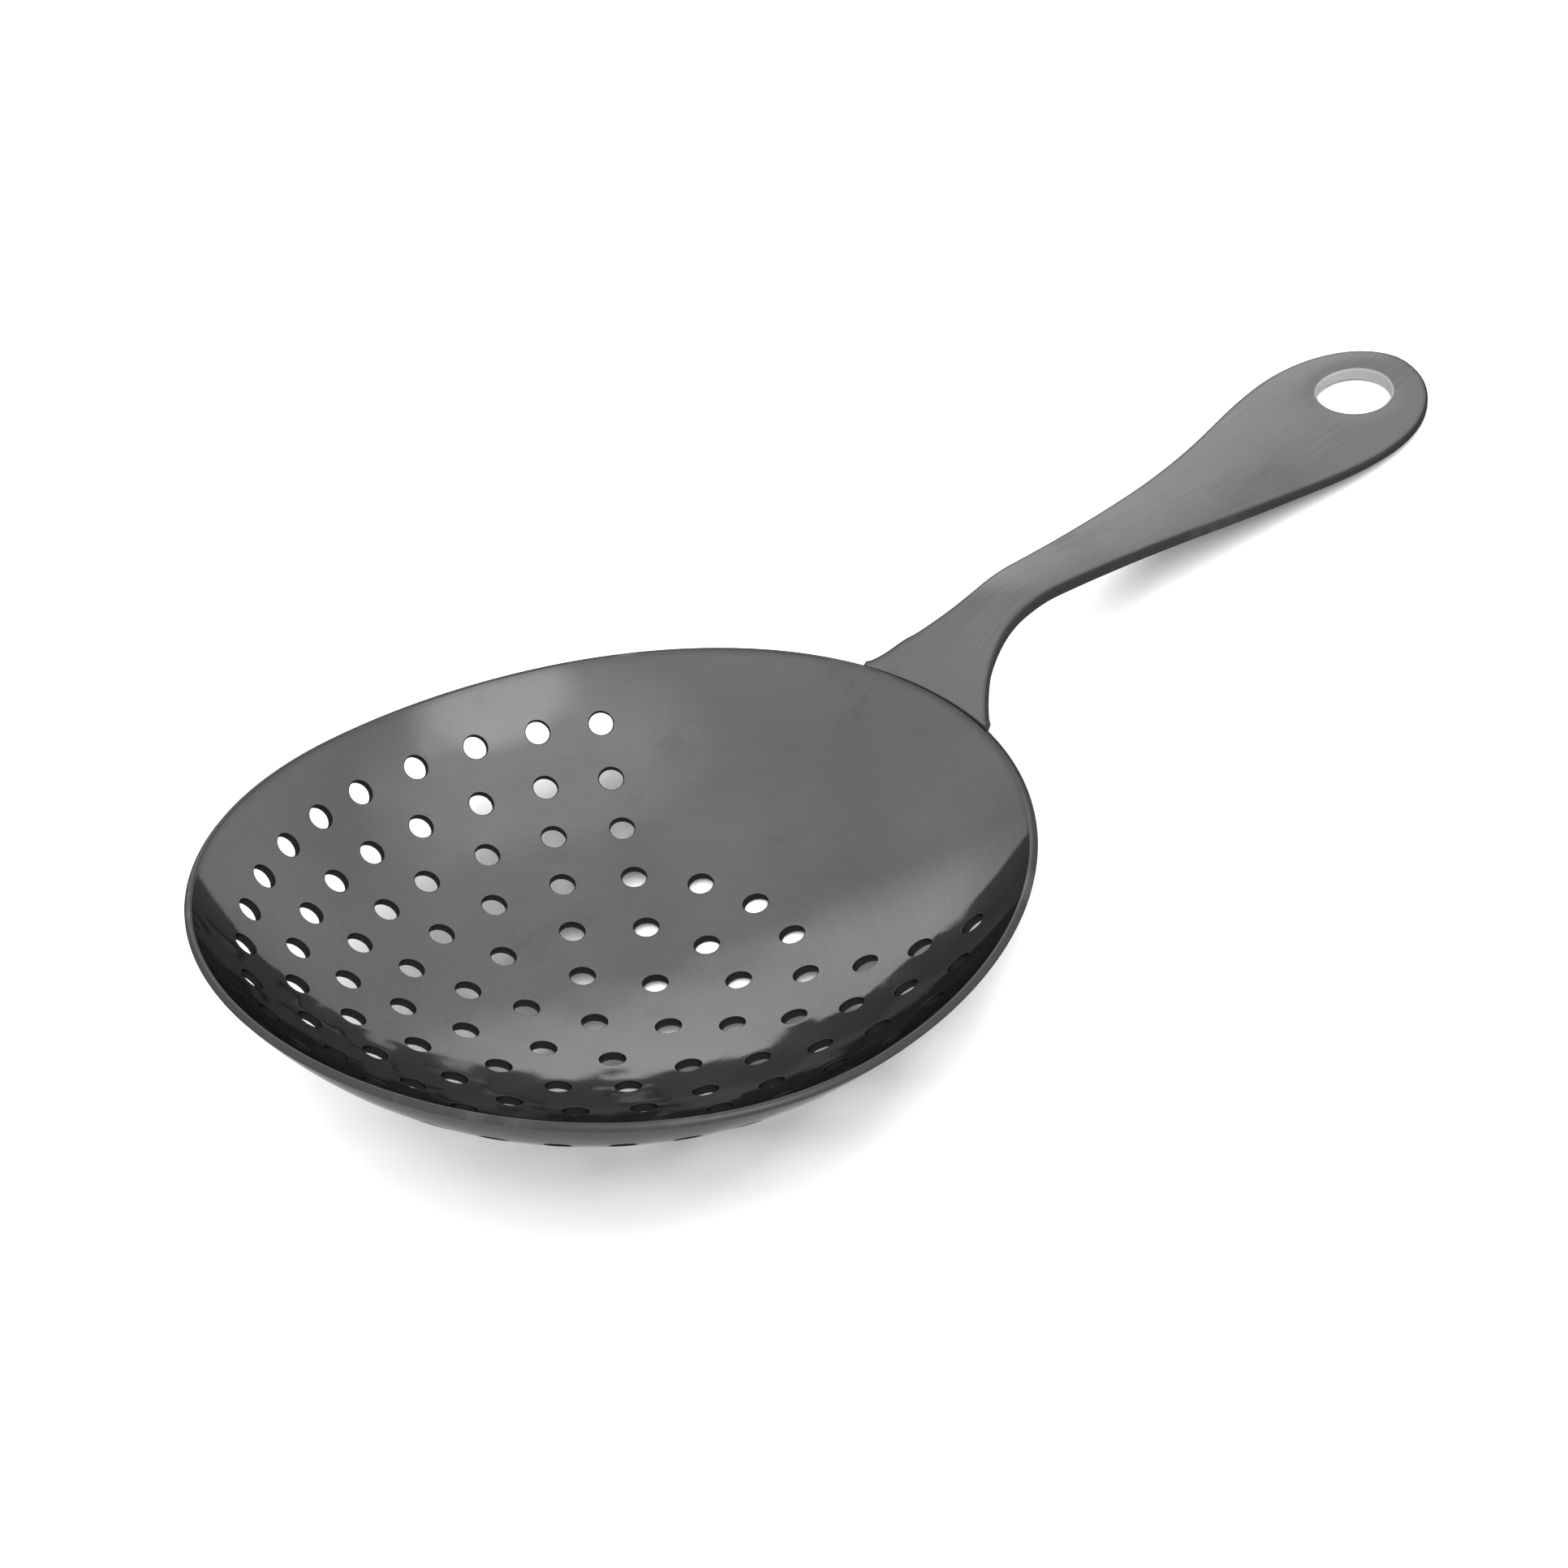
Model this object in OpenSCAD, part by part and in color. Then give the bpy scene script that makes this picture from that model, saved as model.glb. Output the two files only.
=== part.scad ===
// Julep strainer: a pressed, perforated oval bowl with a flat strip handle brazed under its rim.
// Millimetres, +Z up. The strainer lies as it does on a table, on the bowl's underside and the handle's tip.
// The origin is on the table, below the middle of the strainer's length. +X points to the handle's tip.

/* [Bowl] */
// Half of the bowl's inner width across the rim
bowl_half_w = 37.9; // [35:0.1:40]
// Inner radius of the bowl's shallow bottom
bottom_r = 58.4; // [54:0.2:64]
// Distance from the middle at which the wall starts to turn up
turn_at = 23.4; // [20:0.2:26]
// Inner radius of the turned-up wall
wall_r = 38.5; // [36:0.5:44]
// How much longer the half next to the handle is than the front half
rear_stretch = 1.218; // [1.1:0.002:1.25]
// Thickness of the bowl's sheet
sheet_t = 0.9; // [0.8:0.1:1.2]
// Radius of the long curve that the rim follows, seen from the side
rim_sweep_r = 540; // [400:10:900]

/* [Perforations] */
// Diameter of every hole
hole_d = 2.5; // [1.5:0.1:3]
// Distance of each ring of holes from the middle
ring_r = [6.95, 12.95, 18.7, 24, 28.9, 33.6];
// Holes in the first ring. Each later ring has as many more
ring_step = 6; // [5:1:6]
// Number of inner rings that go all the way round
full_rings = 3; // [1:1:3]
// Angle each side of the handle that the outer rings leave plain
plain_angle = 44; // [30:1:60]

/* [Handle] */
// Half of the handle's width at its neck
neck_half_w = 3.3; // [2.5:0.1:4]
// Half of the handle's greatest width
paddle_half_w = 9.7; // [8.5:0.1:11]
// Distance of the handle's tip from the middle of the bowl
tip_x = 125.6; // [118:0.2:132]
// Thickness of the handle's strip
strip_t = 1.5; // [1.2:0.1:2]
// Height of the strip's top over the bowl's inner bottom, where it leaves the bend
strip_top = 24.5; // [23:0.1:26]
// Radius of the bend next to the bowl, on the strip's top
bend_r = 19; // [18:0.5:21]
// Radius of the long upward curve of the paddle, on its top
sweep_r = 165; // [140:5:220]

/* [Tongue] */
// Half of the width of the handle's tongue under the bowl
tongue_half_w = 8.6; // [7:0.1:9.5]
// Thickness of the tongue, which is hammered thinner than the strip
tongue_t = 1.2; // [0.8:0.1:1.4]
// Thickness of the brazing filler between the bowl and the tongue
braze_t = 0.15; // [0.1:0.05:0.25]

/* [Hang hole] */
// Radius of the hang hole
hang_r = 4.1; // [3:0.1:5]
// Distance of the hang hole from the middle of the bowl
hang_x = 117.9; // [116:0.1:119]

/* [Show] */
// The piece that is drawn

/* [Hidden] */
$fn = 96;
over = 1;                                  // how far a cutting tool passes a face
big = 400;                                 // larger than the whole strainer
lap = 0.1;                                 // how far the straight runs into its neighbours
fan_angle = 22;                            // wide enough for the tongue
plan_h = 60;                               // higher than the handle
big_shell = 3;                             // how far the cut for the bowl reaches into it
punch_turn = 37.5;                         // keeps a punch's seam line off the bowl's seams
finish = [0.36, 0.36, 0.38];               // dark steel
filler = [0.50, 0.49, 0.46];               // brazing filler

// The bowl's profile is two arcs that meet in a tangent.
turn_angle = asin(turn_at / bottom_r);
wall_cx = (bottom_r - wall_r) * sin(turn_angle);
wall_cz = bottom_r - (bottom_r - wall_r) * cos(turn_angle);
wall_end = 75;                             // the wall arc runs past the rim and is trimmed there
rim_angle = asin((bowl_half_w - wall_cx) / wall_r);
rim_low_z = wall_cz - wall_r * cos(rim_angle);
rim_low_x = 5.3;                           // the rim is lowest a little behind the widest place

// The handle's side view: a bend, a straight and a long upward curve.
droop = 2.1;                               // the straight falls by this many degrees
bend_x = 64.4;                             // end of the bend
sweep_x = 86;                              // start of the upward curve
bend_end = 50;                             // slope of the strip where it meets the tongue
bend_cx = bend_x - bend_r * sin(droop);
bend_cz = strip_top - bend_r * cos(droop);
straight_l = (sweep_x - bend_x) / cos(droop);
sweep_z = strip_top - (sweep_x - bend_x) * tan(droop);
sweep_cx = sweep_x + sweep_r * sin(droop);
sweep_cz = sweep_z + sweep_r * cos(droop);

// The hang hole is square to the strip, about a point half way through it.
hang_slope = asin((hang_x - sweep_cx) / (sweep_r + strip_t / 2));
hang_z = sweep_cz - (sweep_r + strip_t / 2) * cos(hang_slope);

// The handle's plan: [distance from the bowl's middle, half width, slope of the edge].
neck_x = 59;
paddle_x = 113.3;
neck_flare_r = 14.4;
stations = [
    [neck_x, neck_half_w, 0],
    [80, 0.82 * neck_half_w + 0.185 * paddle_half_w, 0.105],
    [98, 0.36 * neck_half_w + 0.622 * paddle_half_w, 0.19],
    [paddle_x, paddle_half_w, 0]
];
tongue_x = 46.6;                           // middle of the tongue's round end
span_steps = 10;
arc_steps = 16;
tip_power = 2.1;                           // a little blunter than an ellipse
tongue_run = 50.6;                         // the tongue's shell reaches this far

// Height of the bowl's inside over its lowest place, at a distance r from the middle.
function profile_z(r) = r < turn_at
    ? bottom_r - sqrt(pow(bottom_r, 2) - r * r)
    : wall_cz - sqrt(pow(wall_r, 2) - pow(r - wall_cx, 2));
function profile_slope(r) = r < turn_at
    ? tan(asin(r / bottom_r))
    : tan(asin((r - wall_cx) / wall_r));
function stretch(x) = x > 0 ? rear_stretch : 1;
function radius(p) = norm([p[0] / stretch(p[0]), p[1]]);
function slope(p) = radius(p) == 0 ? [0, 0]
    : profile_slope(radius(p)) / radius(p) * [p[0] / pow(stretch(p[0]), 2), p[1]];

// Rest on the table: the tilt at which the bowl and the tip's lower edge are equally low.
outer_r = bottom_r + sheet_t;
tip_low_z = sweep_cz - sqrt(pow(sweep_r + strip_t, 2) - pow(tip_x - sweep_cx, 2));
function bowl_low(a) = bottom_r * cos(a) - norm([rear_stretch * outer_r * sin(a), outer_r * cos(a)]);
function tip_low(a) = tip_low_z * cos(a) - tip_x * sin(a);
function rest(lo, hi, n) = n == 0 ? (lo + hi) / 2
    : bowl_low((lo + hi) / 2) > tip_low((lo + hi) / 2) ? rest(lo, (lo + hi) / 2, n - 1)
    : rest((lo + hi) / 2, hi, n - 1);
rest_steps = 30;
rest_tilt = rest(0, 30, rest_steps);

// Middle of the strainer's length as it lies on the table.
function rim_z(x) = rim_low_z + rim_sweep_r - sqrt(pow(rim_sweep_r, 2) - pow(x - rim_low_x, 2));
function outer_at(z) = wall_cx + sqrt(pow(wall_r + sheet_t, 2) - pow(wall_cz - z, 2));
front_x = -outer_at(rim_z(-outer_at(rim_z(-bowl_half_w))));
tip_high_z = sweep_cz - sqrt(pow(sweep_r, 2) - pow(tip_x - sweep_cx, 2));
front_end = front_x * cos(rest_tilt) + rim_z(front_x) * sin(rest_tilt);
tip_end = tip_x * cos(rest_tilt) + tip_high_z * sin(rest_tilt);
middle_x = (front_end + tip_end) / 2;

// Outline helpers.
function hermite(a, b, t) =
    let (d = b[0] - a[0])
    [
        a[0] + d * t,
        (2 * pow(t, 3) - 3 * t * t + 1) * a[1] + (pow(t, 3) - 2 * t * t + t) * d * a[2]
            + (3 * t * t - 2 * pow(t, 3)) * b[1] + (pow(t, 3) - t * t) * d * b[2]
    ];
flare_angle = acos(1 - (tongue_half_w - neck_half_w) / neck_flare_r);
flare_x = neck_x - neck_flare_r * sin(flare_angle);
function tongue_edge() = [
    for (i = [0:arc_steps - 1])
        let (a = 90 * i / arc_steps)
        [tongue_x - tongue_half_w * cos(a), tongue_half_w * sin(a)]
];
function flare_edge() = [
    for (i = [0:arc_steps - 1])
        let (a = flare_angle * (1 - i / arc_steps))
        [neck_x - neck_flare_r * sin(a), neck_half_w + neck_flare_r * (1 - cos(a))]
];
function paddle_edge() = [
    for (s = [0:len(stations) - 2], i = [0:span_steps - 1])
        hermite(stations[s], stations[s + 1], i / span_steps)
];
function tip_edge() = [
    for (i = [0:arc_steps])
        let (a = 90 * i / arc_steps)
        [
            paddle_x + (tip_x - paddle_x) * pow(sin(a), 2 / tip_power),
            paddle_half_w * pow(cos(a), 2 / tip_power)
        ]
];
function mirrored(pts) = [for (i = [len(pts) - 2:-1:1]) [pts[i][0], -pts[i][1]]];

// Part of a ring between two slopes: below its centre for a wall that curves up, above it for a bend.
module ring_part(centre, r_in, r_out, from, to, side) {
    mid = (from + to) / 2;
    reach = 2 * r_out;
    translate(centre)
        intersection() {
            difference() {
                circle(r = r_out);
                circle(r = r_in);
            }
            polygon([
                [0, 0],
                [-side * reach * sin(from), side * reach * cos(from)],
                [-side * reach * sin(mid), side * reach * cos(mid)],
                [-side * reach * sin(to), side * reach * cos(to)]
            ]);
        }
}

// Section of a shell that follows the bowl, from one distance outside its inner face to another.
module shell_section(near, far) {
    ring_part([0, bottom_r], bottom_r + near, bottom_r + far, 0, turn_angle, -1);
    ring_part([wall_cx, wall_cz], wall_r + near, wall_r + far, turn_angle, wall_end, -1);
}

module rear_shell(near, far) {
    scale([rear_stretch, 1, 1])
        rotate([0, 0, -90])
            rotate_extrude(angle = 180)
                shell_section(near, far);
}

module front_shell(near, far) {
    rotate([0, 0, 90])
        rotate_extrude(angle = 180)
            shell_section(near, far);
}

// Everything over the rim, which is a long curve in the side view.
module over_rim() {
    translate([rim_low_x, 0, rim_low_z + rim_sweep_r])
        rotate([90, 0, 0])
            cylinder(r = rim_sweep_r, h = big, center = true, $fn = 360);
}

// A punch square to the sheet at a place on the bowl.
module punch(p) {
    g = slope(p);
    translate([p[0], p[1], profile_z(radius(p))])
        rotate([0, atan(norm(g)), norm(g) == 0 ? 0 : atan2(-g[1], -g[0])])
            rotate([0, 0, punch_turn])
                cylinder(d = hole_d, h = 4 * sheet_t, center = true, $fn = 24);
}

module punches() {
    punch([0, 0]);
    for (k = [1:len(ring_r)]) {
        n = ring_step * k;
        for (i = [0:n - 1]) {
            a = 360 * i / n;
            if (k <= full_rings || abs(a > 180 ? a - 360 : a) > plain_angle)
                punch(ring_r[k - 1] * [cos(a), sin(a)]);
        }
    }
}

module plan() {
    edge = concat(tongue_edge(), flare_edge(), paddle_edge(), tip_edge());
    polygon(concat(edge, mirrored(edge)));
}

// The three lengths of the strip, as sections that are turned about the bowl's middle.
module bend_section() {
    ring_part([bend_cx, bend_cz], bend_r - strip_t, bend_r, -droop, bend_end, 1);
}

module straight_section() {
    translate([bend_x, strip_top])
        rotate(-droop)
            translate([-lap, -strip_t])
                square([straight_l + 2 * lap, strip_t]);
}

module sweep_section() {
    sweep_end = asin((tip_x + 2 * over - sweep_cx) / sweep_r);
    ring_part([sweep_cx, sweep_cz], sweep_r, sweep_r + strip_t, -droop, sweep_end, -1);
}

module fan() {
    rotate([0, 0, -fan_angle])
        rotate_extrude(angle = 2 * fan_angle)
            children();
}

// What is left of a length of strip inside the handle's outline.
module cut_to_plan() {
    intersection() {
        children();
        translate([0, 0, -over])
            linear_extrude(height = plan_h)
                plan();
    }
}

// Turns the strainer from level to the way it rests, with its lowest places on the table.
module at_rest() {
    translate([-middle_x, 0, -bowl_low(rest_tilt)])
        rotate([0, rest_tilt, 0])
            children();
}

module bowl() {
    color(finish)
        at_rest()
            difference() {
                union() {
                    front_shell(0, sheet_t);
                    rear_shell(0, sheet_t);
                }
                over_rim();
                punches();
            }
}

module handle() {
    color(finish)
        at_rest()
            difference() {
                union() {
                    cut_to_plan()
                        intersection() {
                            rear_shell(sheet_t + braze_t, sheet_t + braze_t + tongue_t);
                            translate([0, -big / 2, 0])
                                cube([tongue_run, big, big]);
                        }
                    difference() {
                        cut_to_plan()
                            fan()
                                bend_section();
                        rear_shell(-big_shell, sheet_t + braze_t);
                    }
                    cut_to_plan()
                        fan()
                            straight_section();
                    cut_to_plan()
                        fan()
                            sweep_section();
                }
                translate([hang_x, 0, hang_z])
                    rotate([0, -hang_slope, 0])
                        cylinder(r = hang_r, h = 4 * strip_t, center = true);
            }
}

module braze() {
    color(filler)
        at_rest()
            difference() {
                cut_to_plan()
                    rear_shell(sheet_t, sheet_t + braze_t);
                over_rim();
            }
}

bowl();
handle();
braze();
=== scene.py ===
import math

import bpy
import numpy as np
from mathutils import Matrix, Vector
from mathutils.geometry import delaunay_2d_cdt


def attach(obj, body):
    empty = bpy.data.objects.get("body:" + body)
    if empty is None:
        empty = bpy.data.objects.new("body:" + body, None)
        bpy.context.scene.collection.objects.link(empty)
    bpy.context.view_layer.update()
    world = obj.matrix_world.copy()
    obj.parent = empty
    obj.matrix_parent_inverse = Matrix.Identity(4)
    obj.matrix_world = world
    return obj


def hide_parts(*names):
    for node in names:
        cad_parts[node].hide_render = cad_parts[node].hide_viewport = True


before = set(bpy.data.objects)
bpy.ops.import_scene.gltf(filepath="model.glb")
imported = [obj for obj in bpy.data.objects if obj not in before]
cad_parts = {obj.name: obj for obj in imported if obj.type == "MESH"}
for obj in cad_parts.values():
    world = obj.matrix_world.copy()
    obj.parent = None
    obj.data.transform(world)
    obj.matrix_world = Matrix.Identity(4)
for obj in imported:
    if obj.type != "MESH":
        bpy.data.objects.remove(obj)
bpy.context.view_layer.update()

# ---- The strainer's shape, in millimetres. It is level here: the bowl's middle is at x = 0, its inner
# ---- bottom at z = 0, and the handle runs along +x. Every piece is tilted into its rest at the end.
BOTTOM_R = 58.4  # inner radius of the bowl's shallow bottom
TURN_AT = 23.4  # distance from the middle at which the wall turns up
WALL_R = 38.5  # inner radius of the wall
HALF_W = 37.9  # half of the inner width across the rim
STRETCH = 1.218  # how much longer the half next to the handle is
SHEET_T = 0.9
RIM_SWEEP_R = 540.0  # the rim follows this long curve, seen from the side
RIM_LOW_X = 5.3  # where the rim is lowest
TURN = math.asin(TURN_AT / BOTTOM_R)  # slope of the profile where the wall turns up
WALL_CX = (BOTTOM_R - WALL_R) * math.sin(TURN)
WALL_CZ = BOTTOM_R - (BOTTOM_R - WALL_R) * math.cos(TURN)
RIM_LOW_Z = WALL_CZ - WALL_R * math.cos(math.asin((HALF_W - WALL_CX) / WALL_R))

HOLE_R = 1.25
RING_R = (6.95, 12.95, 18.7, 24.0, 28.9, 33.6)  # distances of the rings of holes from the middle
RING_STEP = 6  # each ring has this many more holes than the one before
FULL_RINGS = 3  # the inner rings that go all the way round
PLAIN_ANGLE = math.radians(44)  # the outer rings leave this much plain each side of the handle

NECK_HALF_W, PADDLE_HALF_W = 3.3, 9.7
NECK_X, PADDLE_X, TIP_X = 59.0, 113.3, 125.6  # the narrowest place, the widest place and the tip
NECK_FLARE_R = 14.4  # radius of the hollow edge between the tongue and the neck
# Between the neck and the paddle: place, shares of the two half widths, and slope of the edge.
FLANK = ((80.0, 0.82, 0.185, 0.105), (98.0, 0.36, 0.622, 0.19))
TIP_POWER = 2.1  # the tip is a little squarer than an ellipse, whose power is 2
STRIP_T, STRIP_TOP = 1.5, 24.5  # thickness, and height of the top where the bend ends
BEND_R, BEND_X = 19.0, 64.4  # radius and end of the bend next to the bowl
SWEEP_R, SWEEP_X = 165.0, 86.0  # radius and start of the long upward curve
DROOP = math.radians(2.1)  # fall of the straight between them
BEND_CX = BEND_X - BEND_R * math.sin(DROOP)
BEND_CZ = STRIP_TOP - BEND_R * math.cos(DROOP)
SWEEP_Z = STRIP_TOP - (SWEEP_X - BEND_X) * math.tan(DROOP)
SWEEP_CX = SWEEP_X + SWEEP_R * math.sin(DROOP)
SWEEP_CZ = SWEEP_Z + SWEEP_R * math.cos(DROOP)
HANG_R, HANG_X = 4.1, 117.9

TONGUE_HALF_W, TONGUE_X, TONGUE_T = 8.6, 46.6, 1.2
FLARE = math.acos(1 - (TONGUE_HALF_W - NECK_HALF_W) / NECK_FLARE_R)  # turn of the neck's flaring edge
FLARE_X = NECK_X - NECK_FLARE_R * math.sin(FLARE)
BRAZE_T = 0.15
FILLET = 0.9  # radius of the filler's hollow edge round the tongue
FEATHER = 0.04  # thickness to which that edge runs out
BRAZE_BITE = 0.05  # how far the filler reaches into the bowl's wall
BRAZE_DROP = 1.6  # how far below the rim the filler ends

# ---- How it lies on the table.
REST_TILT = math.radians(12.854375)  # its handle leans down to the table
MIDDLE_X, LIFT = 46.500377, 3.068966  # the tilted strainer is moved back and up by these
MM = 0.001  # metres in a millimetre

# ---- Finish: rounded edges, the drawn-in lips of punched holes and the crown of the strip.
# Each edge: its radius above and below, whether it is a raw cut wall, which is rougher and takes the painted
# wall tone (painted shade in the bowl's holes, a painted highlight in the hang hole), and how much it takes
# of the painted edge shade and of the wear that rubs it lighter.
RIM_ROUNDS = (0.4, 0.34, 0.0, 1.0)
HOLE_ROUNDS = (0.14, 0.1, 1.0, 0.0)
STRIP_ROUNDS = (0.34, 0.4, 0.0, 1.0)
HANG_ROUNDS = (0.3, 0.3, 1.0, 0.0)
BRAZE_ROUNDS = (0.02, 0.02, 0.0, 0.0)
LIP_DEPTH, LIP_REACH = 0.03, 1.3  # a punch draws the sheet down this much, to this far from the hole
DISH_DEPTH, DISH_REACH = 0.12, 1.3  # the same for the hang hole
CROWN = 0.06  # rise of the strip's middle over its edges, as a share of its half width
CROWN_MAX_W = 9.5  # the crown grows no more past this half width
CROWN_START = (50.0, 56.0)  # where the crown fades in, along x
TOP_JOIN = (49.4, 51.8)  # where the tongue's top turns into the strip's, along x
UNDER_JOIN = (49.2, 51.4)  # the same on the underside

# ---- How fine the meshes are.
PROBE = 0.02  # slopes are measured over twice this distance
ROUND_STEPS = 4  # faces across each quarter-round edge
RIM_SIDES, HOLE_SIDES, HANG_SIDES = 300, 24, 60
BOWL_FILL, STRIP_FILL, BRAZE_FILL = 1.3, 1.0, 1.2  # distances between the points that fill a surface
ROW = 0.87  # rows of points are closer together than the points in a row
RIM_INSETS, STRIP_INSETS = (0.5, 1.2), (0.35, 0.8)  # rows that follow an outline, this far inside it
HOLE_RINGS, HANG_RINGS = (0.42, 0.85), (0.7, 1.3, 2.0)  # rings round each hole, this far outside it
RIM_CLEAR, STRIP_CLEAR, BRAZE_CLEAR = 1.9, 1.3, 0.5  # the fill keeps this far from an outline
HOLE_CLEAR, HANG_CLEAR = 1.4, 2.6  # and this far from a hole
BEAD_RINGS = (0.6, 0.35, 0.15, 0.01, -0.06)  # rows along the tongue's edge, this far outside it
CURVE_POINTS, TIP_POINTS, TONGUE_POINTS = 22, 30, 26  # along each curve of the outlines
SIDE_POINTS, BRAZE_END_POINTS = 5, 14


def to_rest(p):
    """Turns level millimetre places into metres in the row frame, on the table."""
    x, y, z = p[:, 0], p[:, 1], p[:, 2]
    c, s = math.cos(REST_TILT), math.sin(REST_TILT)
    return np.stack([x * c + z * s - MIDDLE_X, y, z * c - x * s + LIFT], 1) * MM


def turn_to_rest(n):
    """Turns directions the same way."""
    c, s = math.cos(REST_TILT), math.sin(REST_TILT)
    return np.stack([n[:, 0] * c + n[:, 2] * s, n[:, 1], n[:, 2] * c - n[:, 0] * s], 1)


def unit(v):
    return v / np.maximum(np.linalg.norm(v, axis=1, keepdims=True), 1e-12)


def smooth(lo, hi, v):
    t = np.clip((v - lo) / (hi - lo), 0, 1)
    return t * t * (3 - 2 * t)


# ---- The bowl's surfaces.
def unstretch(xy):
    """Places on the round bowl that the half next to the handle is stretched from."""
    return np.where(xy[:, 0] > 0, xy[:, 0] / STRETCH, xy[:, 0]), xy[:, 1]


def wall_angle(r):
    """Slope of the bowl's profile at a distance r from the middle."""
    low = np.arcsin(np.clip(r / BOTTOM_R, 0, 1))
    high = np.arcsin(np.clip((r - WALL_CX) / WALL_R, -1, 1))
    return np.where(r < TURN_AT, low, high)


def bowl_face(xy, out=0.0):
    """Points of the bowl's inner face over xy, or the points of the sheet this far outside them."""
    u, v = unstretch(xy)
    r = np.hypot(u, v)
    a = wall_angle(r)
    z_low = BOTTOM_R - BOTTOM_R * np.cos(a)
    z_high = WALL_CZ - WALL_R * np.cos(a)
    z = np.where(r < TURN_AT, z_low, z_high)
    k = np.where(xy[:, 0] > 0, STRETCH, 1.0)
    du, dv = u / np.maximum(r, 1e-9), v / np.maximum(r, 1e-9)
    way = np.stack([k * np.sin(a) * du, np.sin(a) * dv, -np.cos(a)], 1)
    drawn = LIP_DEPTH * np.exp(-(((hole_gap(xy) + HOLE_R) / (HOLE_R + LIP_REACH)) ** 4))
    return np.column_stack([xy, z]) + way * (out + drawn)[:, None]


def shell_z(xy, out):
    """Height of the shell that lies this far outside the bowl's inner face, at the places xy."""
    u, v = unstretch(xy)
    r = np.hypot(u, v)
    low = BOTTOM_R - np.sqrt(np.maximum((BOTTOM_R + out) ** 2 - r * r, 0.01))
    reach = WALL_R + out
    high = WALL_CZ - np.sqrt(np.maximum(reach**2 - (r - WALL_CX) ** 2, 0.01))
    return np.where(r < (BOTTOM_R + out) * math.sin(TURN), low, high)


def rim_z(x):
    """Height of the long curve that the rim follows."""
    return RIM_LOW_Z + RIM_SWEEP_R - np.sqrt(RIM_SWEEP_R**2 - (x - RIM_LOW_X) ** 2)


def arc_of(r):
    """Length along the bowl's profile from the middle to the distance r."""
    a = wall_angle(r)
    return np.where(r < TURN_AT, BOTTOM_R * a, BOTTOM_R * TURN + WALL_R * (a - TURN))


def r_of(arc):
    """Distance from the middle at a length along the profile."""
    turn = BOTTOM_R * TURN
    low = BOTTOM_R * np.sin(arc / BOTTOM_R)
    high = WALL_CX + WALL_R * np.sin(TURN + (arc - turn) / WALL_R)
    return np.where(arc < turn, low, high)


def bowl_xy(arc, way):
    """Place on the bowl at a length along its profile, in a direction round its middle."""
    r = r_of(arc)
    x = r * np.cos(way)
    return np.stack([np.where(x > 0, x * STRETCH, x), r * np.sin(way)], 1)


def bowl_flat(xy):
    """The bowl's face laid out flat enough for even triangles."""
    u, v = unstretch(xy)
    r = np.maximum(np.hypot(u, v), 1e-9)
    arc = arc_of(r)
    return np.stack([xy[:, 0] / r * arc, v / r * arc], 1)


def rim_arc(way):
    """Length along the profile to the rim, in each direction."""
    r = np.full(len(way), HALF_W)
    for _ in range(20):
        x = r * np.cos(way)
        z = rim_z(np.where(x > 0, x * STRETCH, x))
        r = WALL_CX + np.sqrt(WALL_R**2 - (WALL_CZ - z) ** 2)
    return arc_of(r)


def hole_places():
    """The hole in the middle and the rings round it."""
    places = [(0.0, 0.0)]
    for ring, r in enumerate(RING_R, 1):
        count = RING_STEP * ring
        for i in range(count):
            way = math.tau * i / count
            off = abs(way if way <= math.pi else way - math.tau)
            if ring <= FULL_RINGS or off > PLAIN_ANGLE:
                x = r * math.cos(way)
                places.append((x * STRETCH if x > 0 else x, r * math.sin(way)))
    return np.array(places)


HOLES = hole_places()


def hole_gap(xy):
    """Distance from each place to the edge of the nearest hole, along the sheet."""
    u, v = unstretch(xy)
    slope = np.tan(wall_angle(np.hypot(u, v)))
    gap = np.full(len(xy), 1e3)
    hu, hv = unstretch(HOLES)
    for (hx, hy), hr, cu, cv in zip(HOLES, np.hypot(hu, hv), hu, hv):
        d = xy - (hx, hy)
        lean = (d[:, 0] * cu + d[:, 1] * cv) / max(hr, 1e-9)
        gap = np.minimum(gap, np.sqrt((d**2).sum(1) + (lean * slope) ** 2) - HOLE_R)
    return gap


# ---- The handle's surfaces.
def hermite(a, b, n):
    """Half widths between two stations of (x, half width, slope)."""
    t = np.arange(n) / n
    d = b[0] - a[0]
    w = (2 * t**3 - 3 * t**2 + 1) * a[1] + (t**3 - 2 * t**2 + t) * d * a[2]
    w += (3 * t**2 - 2 * t**3) * b[1] + (t**3 - t**2) * d * b[2]
    return np.stack([a[0] + d * t, w], 1)


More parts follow.
